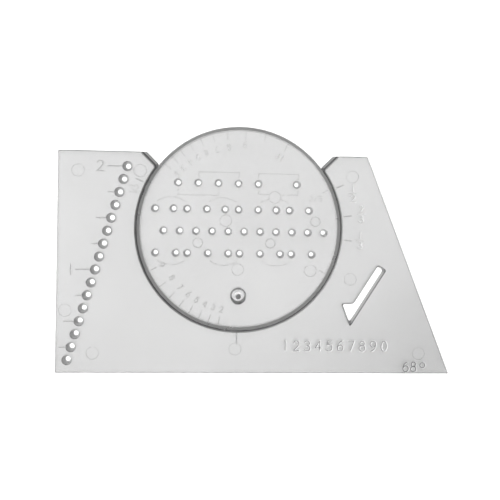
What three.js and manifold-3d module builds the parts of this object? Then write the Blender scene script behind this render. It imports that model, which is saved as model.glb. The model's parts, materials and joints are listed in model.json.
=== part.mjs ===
// Lettering guide: two transparent mouldings. A flat frame with one upright end, one slanted end
// and a round opening that breaks out at its top edge, and a perforated disc that turns in that
// opening. A V-shaped tongue round the opening runs in a V-shaped groove in the disc's rim.
// Millimetres and degrees; X along the base edge, Y up the frame, Z out of its top face.
// The origin is at the middle of the part's footprint, on the underside.

import * as THREE from 'three';
import { mergeVertices } from 'three/addons/utils/BufferGeometryUtils.js';
import Module from 'manifold-3d';

const wasm = await Module();
wasm.setup();

// Both mouldings
const INCH = 25.4;
const PLATE_THICKNESS = 1.6;
const PLASTIC_COLOUR = 0xdcdddd;
const PLASTIC_ROUGHNESS = 0.12;
const PLASTIC_OPACITY = 0.5;

// Disc, and the V groove between the two lips of its rim
const DISC_RADIUS = 25.2;
const GROOVE_DEPTH = 0.95;
const GROOVE_ROOT_LAND = 0.24;
const LIP_EDGE = 0.25;

// Running fit of the frame's tongue in that groove
const RIM_GAP = 0.4;
const FLANK_CLEARANCE = 0.22;
const TONGUE_TIP_LAND = 0.1;

// Frame: plate left beside and below the opening, and the horns that hold the disc
const LEFT_WEB = 18.7;
const BASE_WEB = 10.3;
const HORN_ANGLE = 35.6;
const HORN_RISE = 3.6;
const HORN_CHAMFER_ANGLE = 45;
const HORN_TIP_RADIUS = 0.75;
const RIGHT_HORN_WIDTH = 7.3;
const SLANT_ANGLE = 68;

// Leaning column of pencil holes at the upright end, on an inch scale above the base edge
const COLUMN_STEP = INCH / 8;
const COLUMN_HOLE_TOP = 2.4;
const COLUMN_HOLE_BOTTOM = 1.15;
const COLUMN_EDGE_WEB = 2.8;
const COLUMN_HORN_WEB = 6.8;
const COLUMN_TOP_MARGIN = 3;

// Rows of pencil holes in the disc, given from the disc's centre
const ROW_HOLE_TOP = 1.94;
const ROW_HOLE_BOTTOM = 1.06;
const ROW_RIM_WEB = 0.7;
const METRIC_ROW_Y = 11.2;
const METRIC_ROW_START = -15.3;
const METRIC_ROW_STEP = 4.95;
const METRIC_ROW_LAST_GAP = 9.55;
const METRIC_ROW_STEPS = 4;
const UPPER_ROW_Y = 4.77;
const UPPER_ROW_START = -20.8;
const UPPER_ROW_GAPS = [4.5, 3.32, 4.86];
const EQUAL_ROW_Y = -0.68;
const EQUAL_ROW_START = -18.66;
const EQUAL_ROW_STEP = INCH * 5 / 32;
const EQUAL_ROW_STEPS = 10;
const LOWER_ROW_Y = -6.16;
const LOWER_ROW_START = -20.6;
const LOWER_ROW_GAPS = [5.03, 2.79, 5.09];
const RATIO_GROUPS = 3;

// Turning knob, moulded on the disc: a cup with the stub of the mould's gate standing in it
const KNOB_RIM_DISTANCE = 7.65;
const KNOB_DIAMETER = 4;
const KNOB_HEIGHT = 1.4;
const KNOB_EDGE_CHAMFER = 0.1;
const KNOB_DRAFT = 0.1;
const CUP_RIM = 0.15;
const CUP_DEPTH = 2.2;
const CUP_TAPER = 0.15;
const GATE_STUB_DIAMETER = 1.4;
const GATE_STUB_DROP = 0.25;

// Tick-shaped drawing slot: a long arm, and a short tooth parallel to the slanted end
const SLOT_TIP_Y = 12.1;
const SLOT_SLANT_WEB = 20.6;
const SLOT_ARM_ANGLE = 58;
const SLOT_ARM_LENGTH = 16.5;
const SLOT_ARM_WIDTH = 2.25;
const SLOT_TOOTH_HEIGHT = 5.4;
const SLOT_CORNER_RADIUS = 0.6;
const SLOT_DRAFT = 0.3;

// Fineness of round stretches, how far a cut runs past the faces that it opens, and how close
// corners of neighbouring facets lie to count as one
const RIM_SEGMENTS = 120;
const HALF_OPENING_SEGMENTS = 40;
const HOLE_SEGMENTS = 20;
const KNOB_SEGMENTS = 36;
const CORNER_SEGMENTS = 4;
const OVERCUT = 0.5;
const WELD_DISTANCE = 1e-5;

const rad = THREE.MathUtils.degToRad;
const point = (x, y) => new THREE.Vector2(x, y);

// Sizes that follow from the driving dimensions
const midPlane = PLATE_THICKNESS / 2;
const rootRadius = DISC_RADIUS - GROOVE_DEPTH;
const mouthHalf = midPlane - LIP_EDGE;
const rootHalf = GROOVE_ROOT_LAND / 2;
const flankSlope = (mouthHalf - rootHalf) / GROOVE_DEPTH;
const flankRise = FLANK_CLEARANCE * Math.hypot(1, flankSlope);
const tipHalf = TONGUE_TIP_LAND / 2;
const openingRadius = DISC_RADIUS + RIM_GAP;
const tipRadius = rootRadius + (tipHalf + flankRise - rootHalf) / flankSlope;
const tongueDepth = openingRadius - tipRadius;
const tongueHalf = tipHalf + tongueDepth * flankSlope;

const discX = LEFT_WEB + openingRadius;
const discY = BASE_WEB + openingRadius;
const hornReach = openingRadius * Math.cos(rad(HORN_ANGLE));
const hornTipY = discY + openingRadius * Math.sin(rad(HORN_ANGLE));
const chamferRun = HORN_RISE / Math.tan(rad(HORN_CHAMFER_ANGLE));
const frameHeight = hornTipY + HORN_RISE;
const topLength = discX + hornReach + chamferRun + RIGHT_HORN_WIDTH;
const baseLength = topLength + frameHeight / Math.tan(rad(SLANT_ANGLE));
const partHeight = discY + DISC_RADIUS;

const knobCentre = point(0, KNOB_RIM_DISTANCE - rootRadius);
const knobHead = KNOB_DIAMETER / 2 - KNOB_DRAFT;
const knobTop = PLATE_THICKNESS + KNOB_HEIGHT;

// A closed geometry as a solid that can be joined and cut
function solid(geometry) {
  const bare = geometry.clone();
  bare.deleteAttribute('normal');
  bare.deleteAttribute('uv');
  const merged = mergeVertices(bare, WELD_DISTANCE);
  return new wasm.Manifold(new wasm.Mesh({
    numProp: 3,
    vertProperties: new Float32Array(merged.attributes.position.array),
    triVerts: new Uint32Array(merged.index.array),
  }));
}

// A finished solid as a named mesh with its own plastic
function pieceMesh(name, body) {
  const { vertProperties, triVerts } = body.getMesh();
  const geometry = new THREE.BufferGeometry();
  geometry.setAttribute('position', new THREE.BufferAttribute(vertProperties, 3));
  geometry.setIndex(new THREE.BufferAttribute(triVerts, 1));
  geometry.computeVertexNormals();
  const plastic = new THREE.MeshStandardMaterial({
    color: PLASTIC_COLOUR,
    roughness: PLASTIC_ROUGHNESS,
    metalness: 0,
    transparent: true,
    opacity: PLASTIC_OPACITY,
  });
  const mesh = new THREE.Mesh(geometry, plastic);
  mesh.name = name;
  return mesh;
}

// A profile of radius and height turned about the vertical axis through a centre
function revolve(profile, segments, centre) {
  const geometry = new THREE.LatheGeometry(profile, segments);
  geometry.rotateX(Math.PI / 2);
  geometry.translate(centre.x, centre.y, 0);
  return solid(geometry);
}

// Conical hole cutter, wide at the top face, that opens both faces
function taperedHole(centre, topDiameter, bottomDiameter) {
  const spread = (topDiameter - bottomDiameter) / 2 / PLATE_THICKNESS;
  const profile = [
    point(0, -OVERCUT),
    point(bottomDiameter / 2 - spread * OVERCUT, -OVERCUT),
    point(topDiameter / 2 + spread * OVERCUT, PLATE_THICKNESS + OVERCUT),
    point(0, PLATE_THICKNESS + OVERCUT),
  ];
  return revolve(profile, HOLE_SEGMENTS, centre);
}

// A solid lofted through level outlines of equal count, from the lowest up
function loft(levels) {
  const count = levels[0].outline.length;
  const positions = levels.flatMap(({ outline, z }) => outline.flatMap((p) => [p.x, p.y, z]));
  const triangles = [];
  const last = (levels.length - 1) * count;
  for (let low = 0; low < last; low += count) {
    for (let i = 0; i < count; i += 1) {
      const next = (i + 1) % count;
      triangles.push(low + i, low + next, low + count + next);
      triangles.push(low + i, low + count + next, low + count + i);
    }
  }
  for (const [a, b, c] of THREE.ShapeUtils.triangulateShape(levels[0].outline, [])) {
    triangles.push(a, c, b);
  }
  for (const [a, b, c] of THREE.ShapeUtils.triangulateShape(levels.at(-1).outline, [])) {
    triangles.push(last + a, last + b, last + c);
  }
  const geometry = new THREE.BufferGeometry();
  geometry.setAttribute('position', new THREE.Float32BufferAttribute(positions, 3));
  geometry.setIndex(triangles);
  return solid(geometry);
}

// Points along an arc, turned clockwise where its end angle is the smaller
function arc(centre, radius, from, to, segments) {
  const curve = new THREE.EllipseCurve(centre.x, centre.y, radius, radius, from, to, to < from);
  return curve.getPoints(segments);
}

// Outline of the opening from the disc's centre, drawn in by an inset: round the opening, over the
// rounded tips of the horns and out along their lead-in chamfers
function openingOutline(inset) {
  const turn = rad(HORN_CHAMFER_ANGLE);
  const along = point(Math.cos(turn), Math.sin(turn));
  const inward = point(-along.y, along.x);
  const start = point(hornReach, hornTipY - discY).addScaledVector(inward, -HORN_TIP_RADIUS);
  const back = start.dot(along);
  const reach = openingRadius + HORN_TIP_RADIUS;
  const run = Math.sqrt(back ** 2 + reach ** 2 - start.lengthSq()) - back;
  const tip = start.clone().addScaledVector(along, run);
  const side = tip.angle();
  const opening = arc(point(0, 0), openingRadius - inset, -Math.PI / 2, side, HALF_OPENING_SEGMENTS);
  const rounding = arc(tip, HORN_TIP_RADIUS + inset, side + Math.PI, turn + Math.PI / 2, CORNER_SEGMENTS);
  const end = rounding.at(-1).clone();
  end.addScaledVector(along, (frameHeight + OVERCUT - discY - end.y) / along.y);
  const right = [...opening, ...rounding.slice(1), end];
  const left = right.slice(1).reverse().map((p) => point(-p.x, p.y));
  return [...left, ...right];
}

// Opening with the V tongue standing in from its wall and from the horns' chamfers
function openingCutter() {
  const root = openingOutline(0);
  const edge = openingOutline(tongueDepth);
  const levels = [
    { outline: root, z: -OVERCUT },
    { outline: root, z: midPlane - tongueHalf },
    { outline: edge, z: midPlane - tipHalf },
    { outline: edge, z: midPlane + tipHalf },
    { outline: root, z: midPlane + tongueHalf },
    { outline: root, z: PLATE_THICKNESS + OVERCUT },
  ];
  return loft(levels).translate([discX, discY, 0]);
}

// Corners of the tick-shaped slot, drawn in from its top outline by an inset
function slotCorners(inset) {
  const arm = point(Math.cos(rad(SLOT_ARM_ANGLE)), Math.sin(rad(SLOT_ARM_ANGLE)));
  const tooth = point(-Math.cos(rad(SLANT_ANGLE)), Math.sin(rad(SLANT_ANGLE)));
  const tip = point(baseLength - SLOT_TIP_Y / Math.tan(rad(SLANT_ANGLE)) - SLOT_SLANT_WEB, SLOT_TIP_Y);
  const armEnd = tip.clone().addScaledVector(arm, SLOT_ARM_LENGTH);
  const across = point(-arm.y, arm.x);
  const sides = [
    { through: tip, along: arm },
    { through: armEnd, along: across },
    { through: armEnd.clone().addScaledVector(across, SLOT_ARM_WIDTH), along: arm.clone().negate() },
    { through: point(tip.x, tip.y + SLOT_TOOTH_HEIGHT), along: point(-1, 0) },
    { through: tip, along: tooth.clone().negate() },
  ];
  const moved = sides.map(({ through, along }) => ({
    through: through.clone().addScaledVector(point(-along.y, along.x), inset),
    along,
  }));
  return moved.map((side, i) => {
    const before = moved[(i + moved.length - 1) % moved.length];
    const between = side.through.clone().sub(before.through);
    const reach = between.cross(side.along) / before.along.cross(side.along);
    return before.through.clone().addScaledVector(before.along, reach);
  });
}

// Outline through corners, each rounded by a curve that starts and ends one radius from it
function roundedOutline(corners, radius) {
  return corners.flatMap((corner, i) => {
    const before = corners[(i + corners.length - 1) % corners.length];
    const after = corners[(i + 1) % corners.length];
    const start = corner.clone().addScaledVector(before.clone().sub(corner).normalize(), radius);
    const end = corner.clone().addScaledVector(after.clone().sub(corner).normalize(), radius);
    return new THREE.QuadraticBezierCurve(start, corner, end).getPoints(CORNER_SEGMENTS);
  });
}

// Slot cutter lofted between its outlines below and above the plate
function slotCutter() {
  const heights = [-OVERCUT, PLATE_THICKNESS + OVERCUT];
  return loft(heights.map((z) => {
    const inset = SLOT_DRAFT * (1 - z / PLATE_THICKNESS);
    return { outline: roundedOutline(slotCorners(inset), SLOT_CORNER_RADIUS), z };
  }));
}

// Centres of the column's holes, from the base edge up as far as the plate reaches
function columnCentres() {
  const count = Math.floor((frameHeight - COLUMN_TOP_MARGIN) / COLUMN_STEP);
  const topX = discX - hornReach - COLUMN_HORN_WEB;
  const lean = (topX - COLUMN_EDGE_WEB) / (count - 1);
  return Array.from({ length: count }, (_, i) => point(COLUMN_EDGE_WEB + lean * i, COLUMN_STEP * (i + 1)));
}

// Centres of the disc's holes, row by row, as far as each row fits inside the groove's root
function discCentres() {
  const metricGaps = [...Array(METRIC_ROW_STEPS).fill(METRIC_ROW_STEP), METRIC_ROW_LAST_GAP];
  const grouped = (gaps) => Array(RATIO_GROUPS).fill(gaps).flat();
  const rows = [
    { y: METRIC_ROW_Y, start: METRIC_ROW_START, gaps: metricGaps },
    { y: UPPER_ROW_Y, start: UPPER_ROW_START, gaps: grouped(UPPER_ROW_GAPS) },
    { y: EQUAL_ROW_Y, start: EQUAL_ROW_START, gaps: Array(EQUAL_ROW_STEPS).fill(EQUAL_ROW_STEP) },
    { y: LOWER_ROW_Y, start: LOWER_ROW_START, gaps: grouped(LOWER_ROW_GAPS) },
  ];
  const reach = rootRadius - ROW_RIM_WEB - ROW_HOLE_TOP / 2;
  return rows.flatMap(({ y, start, gaps }) => {
    let x = start;
    const centres = [point(x, y)];
    for (const gap of gaps) {
      x += gap;
      centres.push(point(x, y));
    }
    return centres.filter((centre) => centre.length() <= reach);
  });
}

function makeFrame() {
  const outline = new THREE.Shape([
    point(0, 0),
    point(baseLength, 0),
    point(topLength, frameHeight),
    point(0, frameHeight),
  ]);
  const plate = new THREE.ExtrudeGeometry(outline, { depth: PLATE_THICKNESS, bevelEnabled: false });
  let body = solid(plate);
  body = body.subtract(openingCutter());
  for (const centre of columnCentres()) {
    body = body.subtract(taperedHole(centre, COLUMN_HOLE_TOP, COLUMN_HOLE_BOTTOM));
  }
  body = body.subtract(slotCutter());
  return pieceMesh('frame', body);
}

// Knob with a slight draft and a chamfered edge; its foot is sunk in the disc
function makeKnob() {
  const foot = KNOB_DIAMETER / 2;
  const profile = [
    point(0, midPlane),
    point(foot, midPlane),
    point(foot, PLATE_THICKNESS),
    point(knobHead, knobTop - KNOB_EDGE_CHAMFER),
    point(knobHead - KNOB_EDGE_CHAMFER, knobTop),
    point(0, knobTop),
  ];
  return revolve(profile, KNOB_SEGMENTS, knobCentre);
}

// Tapered cup that goes down through the knob into the disc, round the gate's stub
function cupCutter() {
  const mouth = knobHead - KNOB_EDGE_CHAMFER - CUP_RIM;
  const spread = CUP_TAPER / CUP_DEPTH;
  const floor = knobTop - CUP_DEPTH;
  const stub = GATE_STUB_DIAMETER / 2;
  const stubTop = knobTop - GATE_STUB_DROP;
  const profile = [
    point(0, stubTop),
    point(stub, stubTop),
    point(stub, floor),
    point(mouth - CUP_TAPER, floor),
    point(mouth + spread * OVERCUT, knobTop + OVERCUT),
    point(0, knobTop + OVERCUT),
  ];
  return revolve(profile, KNOB_SEGMENTS, knobCentre);
}

function makeDisc() {
  const rim = [
    point(0, 0),
    point(DISC_RADIUS, 0),
    point(DISC_RADIUS, LIP_EDGE),
    point(rootRadius, midPlane - rootHalf),
    point(rootRadius, midPlane + rootHalf),
    point(DISC_RADIUS, PLATE_THICKNESS - LIP_EDGE),
    point(DISC_RADIUS, PLATE_THICKNESS),
    point(0, PLATE_THICKNESS),
  ];
  let body = revolve(rim, RIM_SEGMENTS, point(0, 0));
  for (const centre of discCentres()) {
    body = body.subtract(taperedHole(centre, ROW_HOLE_TOP, ROW_HOLE_BOTTOM));
  }
  body = body.add(makeKnob()).subtract(cupCutter());
  const mesh = pieceMesh('disc', body);
  mesh.position.set(discX, discY, 0);
  return mesh;
}

const letteringGuide = new THREE.Group();
letteringGuide.name = 'lettering_guide';
letteringGuide.add(makeFrame(), makeDisc());
letteringGuide.position.set(-baseLength / 2, -partHeight / 2, 0);

export default letteringGuide;
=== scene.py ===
"""Lettering guide: the finish of its two clear mouldings, painted shade and painted light included, with
their engraved scales and mould marks.

Shapes are worked out in millimetres in the part's own frame and scaled to metres when they are
finished, and so is the camera's place. The stage, lights and materials are in metres. Angles are in
degrees.
"""
import json
import math

import bmesh
import bpy
from mathutils import Matrix, Vector


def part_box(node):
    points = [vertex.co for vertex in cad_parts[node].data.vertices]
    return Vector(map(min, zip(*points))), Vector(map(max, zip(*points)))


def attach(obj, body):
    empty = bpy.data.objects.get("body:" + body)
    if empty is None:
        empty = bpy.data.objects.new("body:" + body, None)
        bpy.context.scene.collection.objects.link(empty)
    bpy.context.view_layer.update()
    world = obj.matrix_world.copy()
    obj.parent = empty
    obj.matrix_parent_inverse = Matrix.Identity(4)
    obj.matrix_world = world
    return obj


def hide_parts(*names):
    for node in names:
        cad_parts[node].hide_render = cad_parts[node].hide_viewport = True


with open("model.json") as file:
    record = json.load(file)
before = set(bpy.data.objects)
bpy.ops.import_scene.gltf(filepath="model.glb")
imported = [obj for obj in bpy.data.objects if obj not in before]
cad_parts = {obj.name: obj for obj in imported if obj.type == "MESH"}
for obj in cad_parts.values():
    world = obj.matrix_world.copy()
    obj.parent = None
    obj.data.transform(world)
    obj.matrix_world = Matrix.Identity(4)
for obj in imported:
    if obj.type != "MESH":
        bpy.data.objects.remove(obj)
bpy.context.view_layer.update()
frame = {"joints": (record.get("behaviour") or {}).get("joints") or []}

MM = 0.001
INCH = 25.4

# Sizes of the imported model
plate_low, plate_high = (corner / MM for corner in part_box("frame"))
disc_low, disc_high = (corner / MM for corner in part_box("disc"))
LEFT, BASE = plate_low.x, plate_low.y
BASE_LENGTH = plate_high.x - plate_low.x
FRAME_HEIGHT = plate_high.y - plate_low.y
THICKNESS = plate_high.z
MID_PLANE = THICKNESS / 2
DISC_RADIUS = (disc_high.x - disc_low.x) / 2
KNOB_TOP = disc_high.z
AXIS_X, AXIS_Y = (value / MM for value in frame["joints"][0]["pos_m"][:2])

# Rim of the disc, and the frame's tongue that runs in it
GROOVE_DEPTH = 0.95
GROOVE_ROOT_LAND = 0.24
LIP_EDGE = 0.25
RIM_GAP = 0.4
FLANK_CLEARANCE = 0.22
TONGUE_TIP_LAND = 0.1
ROOT_RADIUS = DISC_RADIUS - GROOVE_DEPTH
OPENING_RADIUS = DISC_RADIUS + RIM_GAP
ROOT_HALF = GROOVE_ROOT_LAND / 2
TIP_HALF = TONGUE_TIP_LAND / 2
FLANK_SLOPE = (MID_PLANE - LIP_EDGE - ROOT_HALF) / GROOVE_DEPTH
FLANK_RISE = FLANK_CLEARANCE * math.hypot(1, FLANK_SLOPE)
TIP_RADIUS = ROOT_RADIUS + (TIP_HALF + FLANK_RISE - ROOT_HALF) / FLANK_SLOPE
TONGUE_DEPTH = OPENING_RADIUS - TIP_RADIUS
TONGUE_HALF = TIP_HALF + TONGUE_DEPTH * FLANK_SLOPE

# Frame: horns, slanted end, column of holes and tick-shaped slot
SLANT_ANGLE = 68
HORN_ANGLE = 35.6
HORN_CHAMFER_ANGLE = 45
HORN_REACH = OPENING_RADIUS * math.cos(math.radians(HORN_ANGLE))
HORN_TIP_Y = AXIS_Y + OPENING_RADIUS * math.sin(math.radians(HORN_ANGLE))
HORN_TIP_RADIUS = 0.75
COLUMN_STEP = INCH / 8
COLUMN_COUNT = 16
COLUMN_EDGE_WEB = 2.8
COLUMN_HORN_WEB = 6.8
COLUMN_HOLE_TOP = 2.4
COLUMN_HOLE_BOTTOM = 1.15
SLOT_TIP_Y = 12.1
SLOT_SLANT_WEB = 20.6
SLOT_ARM_ANGLE = 58
SLOT_ARM_LENGTH = 16.5
SLOT_ARM_WIDTH = 2.25
SLOT_TOOTH_HEIGHT = 5.4
SLOT_CORNER_RADIUS = 0.6
SLOT_DRAFT = 0.3

# Disc: rows of holes from its centre, and the cupped knob with its gate stub
ROW_HOLE_TOP = 1.94
ROW_HOLE_BOTTOM = 1.06
METRIC_ROW = {"y": 11.2, "start": -15.3, "gaps": [4.95] * 4 + [9.55]}
UPPER_ROW = {"y": 4.77, "start": -20.8, "gaps": [4.5, 3.32, 4.86] * 3}
EQUAL_ROW = {"y": -0.68, "start": -18.66, "gaps": [INCH * 5 / 32] * 10}
LOWER_ROW = {"y": -6.16, "start": -20.6, "gaps": [5.03, 2.79, 5.09] * 3}
ROWS = (METRIC_ROW, UPPER_ROW, EQUAL_ROW, LOWER_ROW)
GROUP_HOLES = 3
KNOB_OFFSET = 16.6
KNOB_DIAMETER = 4
KNOB_EDGE = 0.05
KNOB_DRAFT = 0.1
CUP_RIM = 0.04
CUP_DEPTH = 2.7
CUP_TAPER = 0.27
GATE_STUB_DIAMETER = 1.28
GATE_STUB_DROP = 0.25
STUB_ROOT = 0.2
KNOB_PLACE = (AXIS_X, AXIS_Y - KNOB_OFFSET)

# Moulded edges: the ruling edges are crisp, the horns' ends and the opening's root are eased, and a
# strip of the groove's flanks next to its root takes the lighter tint of painted light
RULING_EDGE = 0.05
HORN_END_EDGE = 0.16
HOLE_EDGE = 0.09
SLOT_EDGE = 0.14
RIM_EDGE = 0.06
ROOT_EASE = 0.2
PAINTED_LIGHT_STRIP = 0.22
CORNER_RADIUS = 0.25

# Finishes, in the order of each piece's material slots: copies of one clear plastic, whose darker tints
# are painted shade and whose lighter clear tint is painted light; polished_face is the plastic's own
# tint
POLISHED, COLUMN_WALL_SHADE, ROW_WALL_SHADE, MARK_SHADE, SOFT_MARK_SHADE, RELIEF_MARK_SHADE, PAINTED_LIGHT_CLEAR, RIM_SHADE, FLANK_SHADE, GAP_SHADE, ROOT_SHADE = range(11)

# Engraved strokes, each (width at the face, width at its floor, depth, finish of its sides, finish of
# its floor), and the prints of ejector pins. The finishes of sides and floors are painted shade
LINE = (0.28, 0.06, 0.12, MARK_SHADE, POLISHED)
FINE = (0.2, 0.06, 0.08, MARK_SHADE, POLISHED)
SOFT = (0.34, 0.08, 0.14, RELIEF_MARK_SHADE, MARK_SHADE)
SMALL = (0.26, 0.06, 0.12, RELIEF_MARK_SHADE, MARK_SHADE)
FAINT = (0.24, 0.08, 0.05, SOFT_MARK_SHADE, POLISHED)
BOLD = (0.52, 0.14, 0.2, RELIEF_MARK_SHADE, GAP_SHADE)
DEEP = (0.46, 0.2, 0.16, RELIEF_MARK_SHADE, GAP_SHADE)
EJECTOR_DEPTH = 0.06
EJECTOR_SLOPE = 0.085
MARK_OVERCUT = 0.03
MITRE_LIMIT = 0.45

# Layers of engraving, each cut at once: strokes, strokes that cross them, and the prints of pins
STROKES, CROSSING_STROKES, PRINTS = range(3)

# Marks on the frame, from its lower left corner. Ticks stand beside every second hole of the column,
# and INCH_NUMERALS has, for the holes at whole inches, (text, gap to the tick). A row of numerals is
# (text, centre, height, advance), and a fraction is (numeral over, numeral under, centre).
QUARTER_TICK = 1.25
HALF_TICK = 2.1
INCH_TICK = 3.2
QUARTER_HOLES = 2
HALF_HOLES = 4
TICK_GAP = 0.25
INCH_NUMERALS = {8: ("1", 1.2), 16: ("2", 1.9)}
INCH_NUMERAL_HEIGHT = 2.55
INDEX_LINE = ((44.1, 10.0), (44.1, 7.2))
RADIAL_TICKS = (23.9, 7.6, -5.2, 154.9)
RADIAL_TICK_ENDS = (26.4, 28.1)
FRACTIONS = (("1", "2", (72.5, 45.3)), ("2", "3", (74.7, 40.1)), ("1", "3", (74.6, 33.5)))
FRACTION_HEIGHT = 1.7
FRACTION_RISE = 0.74
FRACTION_BAR = 0.55
HORN_NUMERALS = ("32", (18.3, 45.4), 1.75, 0.68)
ANGLE_NUMERALS = ("68", (88.0, 1.7), 2.45, 0.8)
DEGREE_RING = (91.3, 2.12)
DEGREE_RING_RADIUS = 0.6
NUMBER_ROW = ("1234567890", (68.8, 6.9), 2.5, 1.11)
FRAME_EJECTORS = ((4.83, 49.6), (19.78, 49.78), (72.27, 49.36), (2.21, 15.38), (8.93, 4.94),
                  (43.78, 6.05), (72.29, 23.73))
DEEP_EJECTOR = (90.14, 5.08)
EJECTOR_DIAMETER = 3.1

# Marks on the disc, from its centre. A scale is (angle of its zero, stroke of its ticks, stroke of its
# numerals, last number), a ratio is (angle, text), and a bracket is (left, right, height, leg), with
# a leg below zero pointing down. The outer number stands nearer the rim than the others.
SCALES = ((-90, FINE, FINE, 9), (151.4, FAINT, SMALL, 10))
SCALE_FULL = 10
FIRST_NUMBER = 2
SPARE_TICK = 75.3
SCALE_TICK_ENDS = (22.4, 24.0)
SCALE_NUMERAL_RADIUS = 20.4
OUTER_NUMBER = 9
OUTER_NUMERAL_RADIUS = 20.9
SCALE_NUMERAL_HEIGHT = 1.4
RATIOS = ((24.6, "3/5"), (-26.6, "2/3"))
RATIO_HEIGHT = 1.3
RATIO_LAG = 2
BRACKETS = ((-10.2, -0.3, 13.9, -1.2), (4.5, 14.4, 13.8, -1.2),
            (-15.2, -5.3, 8.2, 1.3), (4.6, 14.3, 8.6, 1.0))
BOW_RADIUS = 5.8
BOW_SINK = 2.9
BOW_ENDS = (125, 55)
DISC_EJECTORS = ((-3.41, 1.98), (8.64, 7.96), (-0.24, -10.08), (17.88, -10.16))
DISC_EJECTOR_DIAMETER = 3.0
CORE_PINS = ((18.89, 2.1), (7.72, -3.49), (-10.24, -3.58))
CORE_PIN_DIAMETER = 2.45

# Fineness, and how far a cut runs past the face that it opens
RIM_SEGMENTS = 288
HALF_OPENING_SEGMENTS = 100
HOLE_SEGMENTS = 40
KNOB_SEGMENTS = 64
CORNER_SEGMENTS = 5
TIP_SEGMENTS = 8
ARC_SEGMENTS = 14
CELL_SIZE = 3
SMOOTH_ANGLE = 28
OVERCUT = 0.1
WELD = 0.004

# Clear plastic: ranges of roughness, and the mottle of its tint, gloss and grain
PLASTIC_IOR = 1.49
CLEAR = (0.0, 0.03)
BRUSHED = (0.1, 0.2)
SATIN = (0.25, 0.4)
NOISE_RANGE = (0.3, 0.7)
NOISE_ROUGHNESS = 0.55
NOISE_DETAIL = 3.0
TINT_SCALE = 45
TINT_SPREAD = (0.975, 1.015)
GLOSS_SCALE = 260
GLOSS_DETAIL = 5.0
GRAIN_SCALE = 2600
GRAIN_HEIGHT = 0.00002
GRAIN = 0.3

# Stage: a white floor under a sky that darkens towards the horizon, a broad overhead glow, and a
# softbox at the left. The camera sees a plain white sky.
FLOOR_SIZE = 4.0
FLOOR_DROP = 0.00003
FLOOR_ROUGHNESS = 0.9
FLOOR_GREY = (0.89, 0.91)
FLOOR_SCALE = 900
HORIZON_STRENGTH = 0.1
SKY_STRENGTH = 0.65
SKY_RISE = (0.2, 0.75)
SEEN_SKY_STRENGTH = 1.0
GLOW_STRENGTH = 3.0
GLOW_AXIS = (-0.06, 0.09, 1.0)
GLOW_FULL_ANGLE = 15
GLOW_END_ANGLE = 33
SOFTBOX_PLACE = (-0.55, -0.15, 0.85)
SOFTBOX_SIZE = 0.6
SOFTBOX_POWER = 10

# Camera: nearly overhead, off the guide's middle, with a shift that frames it as in the photograph.
# The bounces are many, because light passes through many clear faces.
IMAGE_PIXELS = 500
LENS_PIXELS = 600
SENSOR_WIDTH = 36
CAMERA_PLACE = (-8.12, 15.09, 149.88)
CAMERA_TILT = (-0.95, -3.606, 1.135)
CAMERA_SHIFT = (-0.028, -0.1)
CLIP_START = 0.01
LIGHT_BOUNCES = 24
TRANSPARENT_BOUNCES = 32


def ring(radius, z, centre, segments):
    """Points of a level circle, counter-clockwise from above."""
    turns = (2 * math.pi * i / segments for i in range(segments))
    return [(centre[0] + radius * math.cos(t), centre[1] + radius * math.sin(t), z) for t in turns]


def arc(cx, cy, rx, ry, start, end, steps=ARC_SEGMENTS):
    """Points along an elliptical arc."""
    turns = (math.radians(start + (end - start) * i / steps) for i in range(steps + 1))
    return [(cx + rx * math.cos(t), cy + ry * math.sin(t)) for t in turns]


def loop(cx, cy, rx, ry):
    """Points round a whole ellipse."""
    return arc(cx, cy, rx, ry, 0, 360, 2 * ARC_SEGMENTS)[:-1]


def heading(angle):
    """Unit vector at an angle from the x axis."""
    return Vector((math.cos(math.radians(angle)), math.sin(math.radians(angle))))


def polar(radius, angle):
    """Point at a radius and an angle from the origin."""
    return tuple(heading(angle) * radius)


def level(outline, z):
    """An outline of (x, y) points at one height."""
    return [(x, y, z) for x, y in outline]


def loft(rings, finishes):
    """Closed shell through rings of equal count. Finishes go: first cap, each band, last cap."""
    count = len(rings[0])
    verts = [point for points in rings for point in points]
    faces = [tuple(reversed(range(count)))]
    kinds = [finishes[0]]
    for band in range(len(rings) - 1):
        low = band * count
        high = low + count
        for i in range(count):
            j = (i + 1) % count
            faces.append((low + i, low + j, high + j, high + i))
            kinds.append(finishes[band + 1])
    faces.append(tuple(range(len(verts) - count, len(verts))))
    kinds.append(finishes[-1])
    return verts, faces, kinds


def turned(profile, finishes, centre, segments):
    """Profile of (radius, height) points turned about a vertical axis."""
    return loft([ring(r, z, centre, segments) for r, z in profile], finishes)


def mitre(points, i, closed):
    """Way ahead at a point of a path, the way across it there, and how far its corner stretches."""
    point = points[i]
    follows = closed or i < len(points) - 1
    ahead = points[(i + 1) % len(points)] - point if follows else point - points[i - 1]
    behind = point - points[i - 1] if closed or i > 0 else ahead
    ahead, behind = ahead.normalized(), behind.normalized()
    side = Vector((-ahead.y - behind.y, ahead.x + behind.x)).normalized()
    stretch = 1 / max(side.dot(Vector((-ahead.y, ahead.x))), MITRE_LIMIT)
    return ahead, side, stretch


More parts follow.
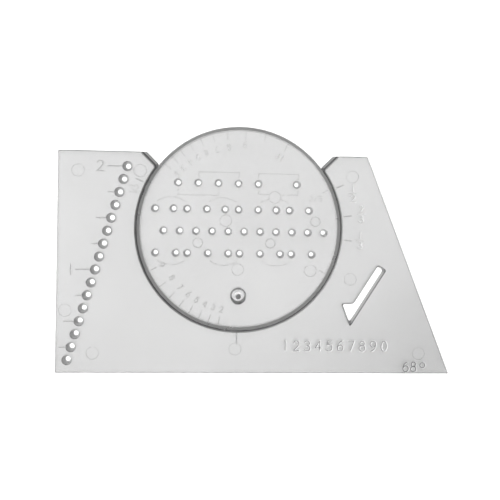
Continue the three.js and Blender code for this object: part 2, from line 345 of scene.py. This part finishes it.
def channel(path, stroke, closed=False):
    """Cutter for an engraved stroke along a path on the top face, with sloping sides."""
    width, floor_width, depth, finish, floor_finish = stroke
    floor_half = floor_width / 2
    slope = (width / 2 - floor_half) / depth
    top_half = width / 2 + slope * MARK_OVERCUT
    top_z, floor_z = THICKNESS + MARK_OVERCUT, THICKNESS - depth
    points = [Vector(p) for p in path]
    last = len(points) - 1
    flush = Vector((0, 0))
    verts = []
    for i, point in enumerate(points):
        ahead, side, stretch = mitre(points, i, closed)
        run = flush
        if not closed and i in (0, last):
            run = ahead * (top_half - floor_half) * (1 if i else -1)
        for sign, half, z, shift in (
            (1, top_half, top_z, run),
            (-1, top_half, top_z, run),
            (-1, floor_half, floor_z, flush),
            (1, floor_half, floor_z, flush),
        ):
            corner = point + side * (sign * half * stretch) + shift
            verts.append((corner.x, corner.y, z))
    sides = (POLISHED, finish, floor_finish, finish)
    count = len(sides)
    faces = []
    kinds = []
    for i in range(len(points) if closed else last):
        here, there = count * i, count * ((i + 1) % len(points))
        for corner, kind in enumerate(sides):
            beside = (corner + 1) % count
            faces.append((here + corner, here + beside, there + beside, there + corner))
            kinds.append(kind)
    if not closed:
        faces += [(0, 3, 2, 1), tuple(count * last + corner for corner in range(count))]
        kinds += [finish, finish]
    return verts, faces, kinds


def tapered_hole(centre, top_diameter, bottom_diameter, wall, mouth):
    """Cutter for a pencil hole, wide at the top, with both mouths eased."""
    top, bottom = top_diameter / 2, bottom_diameter / 2
    profile = [
        (bottom + HOLE_EDGE + OVERCUT, -OVERCUT),
        (bottom, HOLE_EDGE),
        (top - HOLE_EDGE, THICKNESS - HOLE_EDGE),
        (top + OVERCUT, THICKNESS + OVERCUT),
    ]
    return turned(profile, [wall] * 3 + [mouth, wall], centre, HOLE_SEGMENTS)


def piece_object(name, parts):
    """One mesh object from closed shells, in millimetres, with a finish for each face."""
    verts, faces, kinds = [], [], []
    for part_verts, part_faces, part_kinds in parts:
        start = len(verts)
        verts += part_verts
        faces += [tuple(start + i for i in face) for face in part_faces]
        kinds += part_kinds
    mesh = bpy.data.meshes.new(name)
    mesh.from_pydata(verts, [], faces)
    mesh.polygons.foreach_set("material_index", kinds)
    for finish in FINISHES:
        mesh.materials.append(finish)
    obj = bpy.data.objects.new(name, mesh)
    bpy.context.scene.collection.objects.link(obj)
    return obj


def divide(obj):
    """Divide a plain blank into square cells, so that its cut faces stay simple."""
    work = bmesh.new()
    work.from_mesh(obj.data)
    for axis, normal in enumerate((Vector((1, 0, 0)), Vector((0, 1, 0)))):
        low = min(vert.co[axis] for vert in work.verts)
        high = max(vert.co[axis] for vert in work.verts)
        for cell in range(1, math.ceil((high - low) / CELL_SIZE)):
            everything = work.verts[:] + work.edges[:] + work.faces[:]
            place = normal * (low + cell * CELL_SIZE)
            bmesh.ops.bisect_plane(work, geom=everything, plane_co=place, plane_no=normal)
    work.to_mesh(obj.data)
    work.free()


def combine(obj, parts, operation="DIFFERENCE"):
    """Cut closed shells that don't overlap each other from an object, or join them to it."""
    tool = piece_object("cutter", parts)
    modifier = obj.modifiers.new("cut", "BOOLEAN")
    modifier.operation = operation
    modifier.solver = "MANIFOLD"
    modifier.object = tool
    evaluated = obj.evaluated_get(bpy.context.evaluated_depsgraph_get())
    result = bpy.data.meshes.new_from_object(evaluated)
    old_mesh, tool_mesh = obj.data, tool.data
    obj.modifiers.clear()
    obj.data = result
    bpy.data.objects.remove(tool)
    bpy.data.meshes.remove(old_mesh)
    bpy.data.meshes.remove(tool_mesh)


def finish_piece(obj, node):
    """Weld a piece's slivers, scale it to metres, smooth its rounds and put it in its node's place."""
    work = bmesh.new()
    work.from_mesh(obj.data)
    bmesh.ops.remove_doubles(work, verts=work.verts[:], dist=WELD)
    bmesh.ops.dissolve_degenerate(work, edges=work.edges[:], dist=WELD)
    work.to_mesh(obj.data)
    work.free()
    obj.data.transform(Matrix.Scale(MM, 4))
    obj.data.shade_smooth()
    obj.data.set_sharp_from_angle(angle=math.radians(SMOOTH_ANGLE))
    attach(obj, node)
    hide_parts(node)


# Numerals, each in a box 0.6 wide and 1 high, as strokes of (points, closed)
NUMERALS = {
    "0": [(loop(0.3, 0.5, 0.27, 0.5), True)],
    "1": [([(0.3, 1), (0.3, 0)], False)],
    "2": [(arc(0.3, 0.72, 0.27, 0.28, 165, -35) + [(0.03, 0), (0.6, 0)], False)],
    "3": [
        (arc(0.27, 0.76, 0.25, 0.24, 150, -90), False),
        (arc(0.27, 0.26, 0.3, 0.26, 90, -155), False),
    ],
    "4": [([(0.44, 0), (0.44, 1)], False), ([(0.4, 0.96), (0, 0.3), (0.62, 0.3)], False)],
    "5": [([(0.54, 1), (0.12, 1), (0.08, 0.56)] + arc(0.27, 0.32, 0.3, 0.32, 128, -150), False)],
    "6": [(loop(0.3, 0.3, 0.28, 0.3), True), (arc(0.56, 0.3, 0.54, 0.7, 180, 97), False)],
    "7": [([(0.02, 1), (0.58, 1), (0.2, 0)], False)],
    "8": [(loop(0.3, 0.76, 0.22, 0.24), True), (loop(0.3, 0.27, 0.28, 0.27), True)],
    "9": [(loop(0.3, 0.7, 0.28, 0.3), True), (arc(0.04, 0.7, 0.54, 0.7, 0, -83), False)],
    "/": [([(0, 0), (0.5, 1)], False)],
}
NUMERAL_ADVANCE = 0.86
NUMERAL_WIDTH = 0.6
NUMERAL_MIDDLE = 0.5


class Marks:
    """Engraved marks of one piece. Marks of one layer don't overlap, so a layer is one cut."""

    def __init__(self, origin):
        self.origin = Vector(origin)
        self.layers = {STROKES: [], CROSSING_STROKES: [], PRINTS: []}

    def line(self, path, stroke=LINE, layer=STROKES):
        """A stroke along an open path."""
        self.layers[layer].append(channel([self.origin + Vector(p) for p in path], stroke))

    def circle(self, centre, radius, stroke=LINE):
        """A stroke round a circle."""
        x, y = self.origin + Vector(centre)
        self.layers[STROKES].append(channel(loop(x, y, radius, radius), stroke, closed=True))

    def numerals(self, text, centre, height, advance=NUMERAL_ADVANCE, stroke=LINE, turn=0):
        """A row of numerals about a centre, turned anticlockwise."""
        spin = Matrix.Rotation(math.radians(turn), 2)
        start = -((len(text) - 1) * advance + NUMERAL_WIDTH) / 2
        for index, char in enumerate(text):
            for layer, (points, closed) in zip((STROKES, CROSSING_STROKES), NUMERALS[char]):
                path = []
                for x, y in points:
                    flat = Vector((start + index * advance + x, y - NUMERAL_MIDDLE)) * height
                    path.append(self.origin + Vector(centre) + spin @ flat)
                self.layers[layer].append(channel(path, stroke, closed))

    def fraction(self, over, under, centre, height):
        """An upright fraction with a level bar."""
        x, y = centre
        rise = height * FRACTION_RISE
        half = height * FRACTION_BAR
        self.numerals(over, (x, y + rise), height, stroke=SOFT)
        self.numerals(under, (x, y - rise), height, stroke=SOFT)
        self.line([(x - half, y), (x + half, y)], SOFT)

    def ejector(self, centre, diameter, finish=MARK_SHADE):
        """Shallow round print of an ejector pin."""
        x, y = self.origin + Vector(centre)
        rise = EJECTOR_SLOPE / EJECTOR_DEPTH * MARK_OVERCUT
        profile = [
            (diameter / 2 - EJECTOR_SLOPE, THICKNESS - EJECTOR_DEPTH),
            (diameter / 2 + rise, THICKNESS + MARK_OVERCUT),
        ]
        # The print's wall is painted shade in its finish
        print_cutter = turned(profile, [POLISHED, finish, POLISHED], (x, y), HOLE_SEGMENTS)
        self.layers[PRINTS].append(print_cutter)

    def cut(self, obj):
        """Cut every layer from an object."""
        for layer in self.layers.values():
            if layer:
                combine(obj, layer)


def rounded(corners, radius):
    """Outline through corners, each rounded by a curve that starts and ends one radius from it."""
    outline = []
    count = len(corners)
    for i, corner in enumerate(corners):
        start = corner + (corners[i - 1] - corner).normalized() * radius
        end = corner + (corners[(i + 1) % count] - corner).normalized() * radius
        for step in range(CORNER_SEGMENTS + 1):
            t = step / CORNER_SEGMENTS
            point = start.lerp(corner, t).lerp(corner.lerp(end, t), t)
            outline.append((point.x, point.y))
    return outline


def meet(sides):
    """Corners where neighbouring lines, each (point, direction), cross."""
    corners = []
    for i, (point, along) in enumerate(sides):
        before, before_along = sides[i - 1]
        reach = (point - before).cross(along) / before_along.cross(along)
        corners.append(before + before_along * reach)
    return corners


def inset_sides(sides, insets):
    """Lines moved to their left by an inset each."""
    moved = []
    for (point, along), inset in zip(sides, insets):
        moved.append((point + Vector((-along.y, along.x)) * inset, along))
    return moved


def plate_shell():
    """The frame's plate with its eased outer edges in a lighter tint, painted light, and painted shade
    along the horns' ends.
    """
    low_left = Vector((LEFT, BASE))
    low_right = low_left + Vector((BASE_LENGTH, 0))
    top_left = low_left + Vector((0, FRAME_HEIGHT))
    sides = [
        (low_left, heading(0)),
        (low_right, heading(180 - SLANT_ANGLE)),
        (top_left, heading(180)),
        (low_left, heading(270)),
    ]
    eases = (RULING_EDGE, RULING_EDGE, HORN_END_EDGE, RULING_EDGE)
    outer = rounded(meet(sides), CORNER_RADIUS)
    inner = rounded(meet(inset_sides(sides, eases)), CORNER_RADIUS)
    rings = [
        level(inner, 0),
        level(outer, RULING_EDGE),
        level(outer, THICKNESS - RULING_EDGE),
        level(inner, THICKNESS),
    ]
    # Outer edges in the lighter clear tint, painted light; faces along the horns' ends in the dark flank
    # finish, painted shade
    verts, faces, kinds = loft(rings, [POLISHED, PAINTED_LIGHT_CLEAR, PAINTED_LIGHT_CLEAR, PAINTED_LIGHT_CLEAR, POLISHED])
    top_edge = plate_high.y - HORN_END_EDGE - RULING_EDGE
    for i, face in enumerate(faces):
        if all(verts[corner][1] > top_edge for corner in face):
            kinds[i] = FLANK_SHADE
    return verts, faces, kinds


def opening_outline(inset):
    """Outline drawn in by an inset: round the opening, over the horns' tips, up their chamfers."""
    along = heading(HORN_CHAMFER_ANGLE)
    inward = Vector((-along.y, along.x))
    start = Vector((HORN_REACH, HORN_TIP_Y - AXIS_Y)) - inward * HORN_TIP_RADIUS
    back = start.dot(along)
    reach = OPENING_RADIUS + HORN_TIP_RADIUS
    tip = start + along * (math.sqrt(back ** 2 + reach ** 2 - start.length_squared) - back)
    side = math.degrees(math.atan2(tip.y, tip.x))
    wide, narrow = OPENING_RADIUS - inset, HORN_TIP_RADIUS + inset
    opening = arc(0, 0, wide, wide, -90, side, HALF_OPENING_SEGMENTS)
    rounding = arc(tip.x, tip.y, narrow, narrow, side + 180, HORN_CHAMFER_ANGLE + 90, TIP_SEGMENTS)
    end = Vector(rounding[-1])
    end += along * ((plate_high.y + OVERCUT - AXIS_Y - end.y) / along.y)
    right = opening + rounding[1:] + [tuple(end)]
    left = [(-x, y) for x, y in reversed(right[1:])]
    return [(AXIS_X + x, AXIS_Y + y) for x, y in left + right]


def opening_cutter():
    """The opening, with the tongue standing in from its wall, an eased root above it and chamfers, all
    in finishes of painted shade.
    """
    root_slope = ROOT_EASE / (MID_PLANE - TONGUE_HALF)
    levels = [
        (-OVERCUT, -RIM_EDGE - OVERCUT),
        (RIM_EDGE, 0),
        (MID_PLANE - TONGUE_HALF, 0),
        (MID_PLANE - TIP_HALF, TONGUE_DEPTH),
        (MID_PLANE + TIP_HALF, TONGUE_DEPTH),
        (MID_PLANE + TONGUE_HALF - RIM_GAP * FLANK_SLOPE, RIM_GAP),
        (MID_PLANE + TONGUE_HALF, 0),
        (THICKNESS + OVERCUT, -ROOT_EASE - root_slope * OVERCUT),
    ]
    # Painted shade on every face: darkest in the gap, dark on the flanks, a grey lit by the softbox on
    # the root, and the lighter rim shade on the horns' chamfers
    finishes = [FLANK_SHADE] * 6 + [GAP_SHADE, ROOT_SHADE, FLANK_SHADE]
    verts, faces, kinds = loft([level(opening_outline(inset), z) for z, inset in levels], finishes)
    for i, face in enumerate(faces):
        nearest = min(math.dist(verts[corner][:2], (AXIS_X, AXIS_Y)) for corner in face)
        if kinds[i] == FLANK_SHADE and nearest > OPENING_RADIUS:
            kinds[i] = RIM_SHADE
    return verts, faces, kinds


def slot_outline(inset):
    """Outline of the tick-shaped slot, drawn in from its top by an inset."""
    arm = heading(SLOT_ARM_ANGLE)
    tooth = heading(180 - SLANT_ANGLE)
    tip_x = BASE_LENGTH - SLOT_TIP_Y / math.tan(math.radians(SLANT_ANGLE)) - SLOT_SLANT_WEB
    tip = Vector((LEFT + tip_x, BASE + SLOT_TIP_Y))
    end = tip + arm * SLOT_ARM_LENGTH
    across = Vector((-arm.y, arm.x))
    sides = [
        (tip, arm),
        (end, across),
        (end + across * SLOT_ARM_WIDTH, -arm),
        (tip + Vector((0, SLOT_TOOTH_HEIGHT)), heading(180)),
        (tip, -tooth),
    ]
    return rounded(meet(inset_sides(sides, [inset] * len(sides))), SLOT_CORNER_RADIUS)


def slot_cutter():
    """The slot, with drafted walls in painted shade that is darker round its corners, and both mouths
    eased.
    """
    levels = [
        (-OVERCUT, SLOT_DRAFT - HOLE_EDGE - OVERCUT),
        (HOLE_EDGE, SLOT_DRAFT),
        (THICKNESS - SLOT_EDGE, 0),
        (THICKNESS + OVERCUT, -SLOT_EDGE - OVERCUT),
    ]
    # Grey painted shade on the walls, darker at the corners, darkest on the top mouth
    finishes = [COLUMN_WALL_SHADE] * 3 + [GAP_SHADE, COLUMN_WALL_SHADE]
    verts, faces, kinds = loft([level(slot_outline(inset), z) for z, inset in levels], finishes)
    count = len(slot_outline(0))
    corner_points = CORNER_SEGMENTS + 1
    for i, kind in enumerate(kinds[1:-1]):
        if kind == COLUMN_WALL_SHADE and i % count % corner_points < CORNER_SEGMENTS:
            kinds[i + 1] = FLANK_SHADE
    return verts, faces, kinds


def column_centres():
    """Centres of the leaning column's holes, from the base edge up."""
    top_x = AXIS_X - HORN_REACH - COLUMN_HORN_WEB
    low_x = LEFT + COLUMN_EDGE_WEB
    lean = (top_x - low_x) / (COLUMN_COUNT - 1)
    return [(low_x + lean * i, BASE + COLUMN_STEP * (i + 1)) for i in range(COLUMN_COUNT)]


def row_centres(row):
    """Centres of one row of the disc's holes, from the disc's centre."""
    xs = [row["start"]]
    for gap in row["gaps"]:
        xs.append(xs[-1] + gap)
    return [(x, row["y"]) for x in xs]


def scale_angle(number):
    """Turn of the disc that sets a row's height to a number out of the full scale."""
    return math.degrees(math.asin(number / SCALE_FULL))


def mark_column(marks):
    """Ticks of the inch scale beside the column, and its numerals."""
    for hole, (x, y) in enumerate(column_centres(), start=1):
        if hole % QUARTER_HOLES:
            continue
        length = QUARTER_TICK if hole % HALF_HOLES else HALF_TICK
        if hole in INCH_NUMERALS:
            length = INCH_TICK
        end = x - LEFT - COLUMN_HOLE_TOP / 2 - TICK_GAP
        start = end - length
        height = y - BASE
        marks.line([(start, height), (end, height)])
        if hole in INCH_NUMERALS:
            text, gap = INCH_NUMERALS[hole]
            marks.numerals(text, (start - gap, height), INCH_NUMERAL_HEIGHT)


def frame_marks():
    """All marks on the frame's top face."""
    marks = Marks((LEFT, BASE))
    mark_column(marks)
    marks.line(INDEX_LINE)
    centre = Vector((AXIS_X - LEFT, AXIS_Y - BASE))
    for angle in RADIAL_TICKS:
        marks.line([centre + heading(angle) * radius for radius in RADIAL_TICK_ENDS])
    for over, under, place in FRACTIONS:
        marks.fraction(over, under, place, FRACTION_HEIGHT)
    marks.numerals(*HORN_NUMERALS, stroke=FAINT)
    marks.numerals(*ANGLE_NUMERALS, stroke=DEEP)
    marks.circle(DEGREE_RING, DEGREE_RING_RADIUS, DEEP)
    marks.numerals(*NUMBER_ROW, stroke=BOLD)
    for place in FRAME_EJECTORS:
        marks.ejector(place, EJECTOR_DIAMETER)
    # This print's wall is a darker painted shade
    marks.ejector(DEEP_EJECTOR, EJECTOR_DIAMETER, ROOT_SHADE)
    return marks


def mark_scales(marks):
    """Ticks and numerals of the disc's scales near its rim."""
    for zero, tick_stroke, numeral_stroke, last in SCALES:
        for number in range(FIRST_NUMBER, last + 1):
            angle = zero - scale_angle(number)
            marks.line([polar(radius, angle) for radius in SCALE_TICK_ENDS], tick_stroke)
            radius = OUTER_NUMERAL_RADIUS if number == OUTER_NUMBER else SCALE_NUMERAL_RADIUS
            place = polar(radius, angle)
            marks.numerals(
                str(number), place, SCALE_NUMERAL_HEIGHT, stroke=numeral_stroke, turn=angle + 90
            )
    marks.line([polar(radius, SPARE_TICK) for radius in SCALE_TICK_ENDS], FAINT)


def mark_groups(marks):
    """Brackets over and under the metric row, bows over the upper row's groups and under the lower's."""
    for left, right, y, leg in BRACKETS:
        marks.line([(left, y + leg), (left, y), (right, y), (right, y + leg)], FAINT)
    for row, side in ((UPPER_ROW, 1), (LOWER_ROW, -1)):
        centres = row_centres(row)
        for first in range(0, len(centres) - GROUP_HOLES + 1, GROUP_HOLES):
            middle = (centres[first][0] + centres[first + GROUP_HOLES - 1][0]) / 2
            start, end = (side * angle for angle in BOW_ENDS)
            bow = arc(middle, row["y"] - side * BOW_SINK, BOW_RADIUS, BOW_RADIUS, start, end)
            marks.line(bow, FAINT, CROSSING_STROKES)


def disc_marks():
    """All marks on the disc's top face."""
    marks = Marks((AXIS_X, AXIS_Y))
    mark_scales(marks)
    for angle, text in RATIOS:
        marks.line([polar(radius, angle) for radius in SCALE_TICK_ENDS], FAINT)
        place = polar(SCALE_NUMERAL_RADIUS, angle - RATIO_LAG)
        marks.numerals(text, place, RATIO_HEIGHT, stroke=FAINT)
    mark_groups(marks)
    for place in DISC_EJECTORS:
        marks.ejector(place, DISC_EJECTOR_DIAMETER)
    # The core pins' prints are a darker painted shade
    for place in CORE_PINS:
        marks.ejector(place, CORE_PIN_DIAMETER, ROOT_SHADE)
    return marks


def make_frame():
    """The clear frame with its opening, slot, column of holes and marks."""
    obj = piece_object("clear_frame", [plate_shell()])
    divide(obj)
    combine(obj, [opening_cutter()])
    cutters = [slot_cutter()]
    for centre in column_centres():
        # Column hole walls in grey painted shade, their top mouths in the darkest painted shade
        cutters.append(tapered_hole(centre, COLUMN_HOLE_TOP, COLUMN_HOLE_BOTTOM, COLUMN_WALL_SHADE, GAP_SHADE))
    combine(obj, cutters)
    frame_marks().cut(obj)
    finish_piece(obj, "frame")


def knob_shell():
    """Round knob with a slight draft; its foot is sunk in the disc."""
    head = KNOB_DIAMETER / 2 - KNOB_DRAFT
    profile = [
        (KNOB_DIAMETER / 2, MID_PLANE),
        (KNOB_DIAMETER / 2, THICKNESS),
        (head, KNOB_TOP - KNOB_EDGE),
        (head - KNOB_EDGE, KNOB_TOP),
    ]
    # Drafted side and top chamfer in dark finishes: painted shade
    return turned(profile, [POLISHED, POLISHED, ROOT_SHADE, GAP_SHADE, POLISHED], KNOB_PLACE, KNOB_SEGMENTS)


def cup_cutter():
    """Tapered cup down through the knob, to a thin floor in the disc."""
    mouth = KNOB_DIAMETER / 2 - KNOB_DRAFT - KNOB_EDGE - CUP_RIM
    spread = CUP_TAPER / CUP_DEPTH
    profile = [
        (mouth - CUP_TAPER, KNOB_TOP - CUP_DEPTH),
        (mouth + spread * OVERCUT, KNOB_TOP + OVERCUT),
    ]
    # Cup floor in the lighter clear tint, painted light; cup wall in dark painted shade
    return turned(profile, [PAINTED_LIGHT_CLEAR, FLANK_SHADE, POLISHED], KNOB_PLACE, KNOB_SEGMENTS)


def gate_stub():
    """Stub of the mould's gate in the cup, sunk in the cup's floor."""
    floor = KNOB_TOP - CUP_DEPTH
    profile = [
        (GATE_STUB_DIAMETER / 2, floor - STUB_ROOT),
        (GATE_STUB_DIAMETER / 2, KNOB_TOP - GATE_STUB_DROP),
    ]
    # Stub side in the lighter clear tint, painted light; its rough gate end in the darkest tint, painted
    # shade
    return turned(profile, [POLISHED, PAINTED_LIGHT_CLEAR, GAP_SHADE], KNOB_PLACE, KNOB_SEGMENTS)


def disc_shell():
    """The disc's blank, with the groove in its rim."""
    light_strip_rise = PAINTED_LIGHT_STRIP * FLANK_SLOPE
    profile = [
        (DISC_RADIUS - RIM_EDGE, 0),
        (DISC_RADIUS, RIM_EDGE),
        (DISC_RADIUS, LIP_EDGE),
        (ROOT_RADIUS + PAINTED_LIGHT_STRIP, MID_PLANE - ROOT_HALF - light_strip_rise),
        (ROOT_RADIUS, MID_PLANE - ROOT_HALF),
        (ROOT_RADIUS, MID_PLANE + ROOT_HALF),
        (ROOT_RADIUS + PAINTED_LIGHT_STRIP, MID_PLANE + ROOT_HALF + light_strip_rise),
        (DISC_RADIUS, THICKNESS - LIP_EDGE),
        (DISC_RADIUS, THICKNESS - RIM_EDGE),
        (DISC_RADIUS - RIM_EDGE, THICKNESS),
    ]
    # Painted shade on the lower chamfer, the lower lip and both flanks; painted light on the root, the
    # strip of flank beside it, the upper lip and its chamfer
    finishes = [POLISHED] + [RIM_SHADE] * 3 + [PAINTED_LIGHT_CLEAR] * 3 + [RIM_SHADE, PAINTED_LIGHT_CLEAR, PAINTED_LIGHT_CLEAR, POLISHED]
    return turned(profile, finishes, (AXIS_X, AXIS_Y), RIM_SEGMENTS)


def make_disc():
    """The clear disc with its rows of holes, knob and marks."""
    obj = piece_object("clear_disc", [disc_shell()])
    divide(obj)
    holes = []
    for row in ROWS:
        for x, y in row_centres(row):
            centre = (AXIS_X + x, AXIS_Y + y)
            # Row hole walls and their top mouths in dark grey painted shade
            holes.append(tapered_hole(centre, ROW_HOLE_TOP, ROW_HOLE_BOTTOM, ROW_WALL_SHADE, ROOT_SHADE))
    combine(obj, holes)
    combine(obj, [knob_shell()], "UNION")
    combine(obj, [cup_cutter()])
    combine(obj, [gate_stub()], "UNION")
    disc_marks().cut(obj)
    finish_piece(obj, "disc")


def shader_node(tree, kind, **inputs):
    """A shader node with the values of its sockets."""
    made = tree.nodes.new(kind)
    for name, value in inputs.items():
        made.inputs[name.replace("_", " ")].default_value = value
    return made


def map_range(tree, value, before, after):
    """A value mapped from one range to another."""
    span = shader_node(
        tree, "ShaderNodeMapRange",
        From_Min=before[0], From_Max=before[1], To_Min=after[0], To_Max=after[1],
    )
    tree.links.new(value, span.inputs["Value"])
    return span


def mottle(tree, scale, span, detail=NOISE_DETAIL):
    """A soft noise over the piece, mapped to a range of grey."""
    place = tree.nodes.new("ShaderNodeTexCoord")
    noise = shader_node(
        tree, "ShaderNodeTexNoise", Scale=scale, Detail=detail, Roughness=NOISE_ROUGHNESS
    )
    tree.links.new(place.outputs["Object"], noise.inputs["Vector"])
    return map_range(tree, noise.outputs["Fac"], NOISE_RANGE, span).outputs["Result"]


def clear_plastic(name, tint, shade, gloss, clarity=1.0, grain=0.0):
    """Clear moulding: tint as seen, where darker copies are painted shade and a lighter one painted
    light; shade as it falls in a lamp's light; gloss as a roughness range.
    """
    material = bpy.data.materials.new(name)
    material.use_nodes = True
    tree = material.node_tree
    body = tree.nodes["Principled BSDF"]
    body.inputs["IOR"].default_value = PLASTIC_IOR
    body.inputs["Transmission Weight"].default_value = clarity
    tints = [tint * part for part in TINT_SPREAD]
    tree.links.new(mottle(tree, TINT_SCALE, tints), body.inputs["Base Color"])
    tree.links.new(mottle(tree, GLOSS_SCALE, gloss, GLOSS_DETAIL), body.inputs["Roughness"])
    if grain:
        bump = shader_node(tree, "ShaderNodeBump", Strength=grain, Distance=GRAIN_HEIGHT)
        tree.links.new(mottle(tree, GRAIN_SCALE, (0.0, 1.0)), bump.inputs["Height"])
        tree.links.new(bump.outputs["Normal"], body.inputs["Normal"])
    passing = shader_node(tree, "ShaderNodeBsdfTransparent", Color=(shade, shade, shade, 1))
    light_path = tree.nodes.new("ShaderNodeLightPath")
    mix = tree.nodes.new("ShaderNodeMixShader")
    tree.links.new(light_path.outputs["Is Shadow Ray"], mix.inputs["Fac"])
    tree.links.new(body.outputs["BSDF"], mix.inputs[1])
    tree.links.new(passing.outputs["BSDF"], mix.inputs[2])
    tree.links.new(mix.outputs["Shader"], tree.nodes["Material Output"].inputs["Surface"])
    return material


def make_floor():
    """A floor of white paper just under the guide."""
    half = FLOOR_SIZE / 2
    mesh = bpy.data.meshes.new("floor")
    corners = [(-half, -half), (half, -half), (half, half), (-half, half)]
    mesh.from_pydata(level(corners, -FLOOR_DROP), [], [(0, 1, 2, 3)])
    floor = bpy.data.objects.new("floor", mesh)
    bpy.context.scene.collection.objects.link(floor)
    material = bpy.data.materials.new("white_paper")
    material.use_nodes = True
    tree = material.node_tree
    body = tree.nodes["Principled BSDF"]
    body.inputs["Specular IOR Level"].default_value = 0.0
    body.inputs["Roughness"].default_value = FLOOR_ROUGHNESS
    tree.links.new(mottle(tree, FLOOR_SCALE, FLOOR_GREY), body.inputs["Base Color"])
    mesh.materials.append(material)


def fade(tree, value, edges, strengths):
    """A smooth step of a value between two edges."""
    step = map_range(tree, value, edges, strengths)
    step.interpolation_type = "SMOOTHSTEP"
    return step.outputs["Result"]


def make_sky():
    """Sky and glow that light the guide, and the plain sky that the camera sees."""
    world = bpy.data.worlds.new("studio")
    world.use_nodes = True
    tree = world.node_tree
    place = tree.nodes.new("ShaderNodeTexCoord")
    height = tree.nodes.new("ShaderNodeSeparateXYZ")
    tree.links.new(place.outputs["Generated"], height.inputs["Vector"])
    sky = fade(tree, height.outputs["Z"], SKY_RISE, (HORIZON_STRENGTH, SKY_STRENGTH))
    towards = tree.nodes.new("ShaderNodeVectorMath")
    towards.operation = "DOT_PRODUCT"
    towards.inputs[1].default_value = Vector(GLOW_AXIS).normalized()
    tree.links.new(place.outputs["Generated"], towards.inputs[0])
    edges = [math.cos(math.radians(angle)) for angle in (GLOW_END_ANGLE, GLOW_FULL_ANGLE)]
    glow = fade(tree, towards.outputs["Value"], edges, (0.0, GLOW_STRENGTH))
    total = tree.nodes.new("ShaderNodeMath")
    tree.links.new(sky, total.inputs[0])
    tree.links.new(glow, total.inputs[1])
    light_path = tree.nodes.new("ShaderNodeLightPath")
    seen = tree.nodes.new("ShaderNodeMix")
    seen.inputs["B"].default_value = SEEN_SKY_STRENGTH
    tree.links.new(light_path.outputs["Is Camera Ray"], seen.inputs["Factor"])
    tree.links.new(total.outputs["Value"], seen.inputs["A"])
    background = tree.nodes["Background"]
    background.inputs["Color"].default_value = (1, 1, 1, 1)
    tree.links.new(seen.outputs["Result"], background.inputs["Strength"])
    world.cycles.sampling_method = "NONE"
    bpy.context.scene.world = world


def make_softbox():
    """Lamp from the left on the floor and the satin walls. Clear faces don't show it."""
    light = bpy.data.lights.new("softbox", "AREA")
    light.size = SOFTBOX_SIZE
    light.energy = SOFTBOX_POWER
    softbox = bpy.data.objects.new("softbox", light)
    softbox.location = SOFTBOX_PLACE
    softbox.rotation_euler = (-Vector(SOFTBOX_PLACE)).to_track_quat("-Z", "Y").to_euler()
    softbox.visible_camera = False
    softbox.visible_glossy = False
    softbox.visible_transmission = False
    bpy.context.scene.collection.objects.link(softbox)


def make_camera():
    """A camera in the photograph's place."""
    data = bpy.data.cameras.new("camera")
    data.sensor_width = SENSOR_WIDTH
    data.lens = LENS_PIXELS / IMAGE_PIXELS * SENSOR_WIDTH
    data.shift_x, data.shift_y = CAMERA_SHIFT
    data.clip_start = CLIP_START
    camera = bpy.data.objects.new("camera", data)
    bpy.context.scene.collection.objects.link(camera)
    camera.location = Vector(CAMERA_PLACE) * MM
    camera.rotation_mode = "ZYX"
    camera.rotation_euler = [math.radians(angle) for angle in CAMERA_TILT]
    bpy.context.scene.camera = camera


def set_light_paths():
    """Standard colours, and enough bounces for light to pass through both mouldings."""
    scene = bpy.context.scene
    scene.view_settings.view_transform = "Standard"
    scene.cycles.max_bounces = LIGHT_BOUNCES
    scene.cycles.transmission_bounces = LIGHT_BOUNCES
    scene.cycles.transparent_max_bounces = TRANSPARENT_BOUNCES
    scene.cycles.caustics_reflective = False
    scene.cycles.caustics_refractive = True


FINISHES = [
    # Copies of one clear plastic: every tint but polished_face's is painted shade or painted light
    clear_plastic("polished_face", tint=0.66, shade=0.8, gloss=CLEAR),
    # Hole and slot walls: dark satin tints painted as shade; the softbox adds real shading to their
    # diffuse part
    clear_plastic("column_wall_painted_shade", tint=0.33, shade=0.97, gloss=SATIN, clarity=0.2, grain=GRAIN),
    clear_plastic("row_wall_painted_shade", tint=0.26, shade=0.97, gloss=SATIN, clarity=0.2, grain=GRAIN),
    # Engraved sides: grey tints painted as shade, so that the strokes show
    clear_plastic("engraved_side_painted_shade", tint=0.4, shade=0.92, gloss=BRUSHED),
    clear_plastic("soft_engraving_painted_shade", tint=0.6, shade=0.95, gloss=BRUSHED),
    # Grey diffuse engraving, painted shade; the softbox lights one side of each stroke and leaves the
    # other dark
    clear_plastic("relief_engraving_painted_shade", tint=0.57, shade=0.95, gloss=SATIN, clarity=0.05),
    # Edges, the disc's upper lip, the strip by the groove's root, the cup's floor and the stub's side: a
    # tint lighter than the plate, painted light
    clear_plastic("lighter_clear_painted_light", tint=0.92, shade=0.8, gloss=CLEAR),
    # Rim, tongue, gap and root: dark tints painted as shade; the root's finish is mostly diffuse, so the
    # softbox also shades it for real
    clear_plastic("disc_rim_painted_shade", tint=0.29, shade=0.97, gloss=SATIN, clarity=0.6, grain=GRAIN),
    clear_plastic("tongue_flank_painted_shade", tint=0.14, shade=0.97, gloss=SATIN, clarity=0.6, grain=GRAIN),
    clear_plastic("joint_gap_painted_shade", tint=0.06, shade=0.97, gloss=SATIN, clarity=0.1, grain=GRAIN),
    clear_plastic("root_edge_painted_shade", tint=0.26, shade=0.97, gloss=SATIN, clarity=0.05, grain=GRAIN),
]
make_frame()
make_disc()
make_floor()
make_sky()
make_softbox()
make_camera()
set_light_paths()
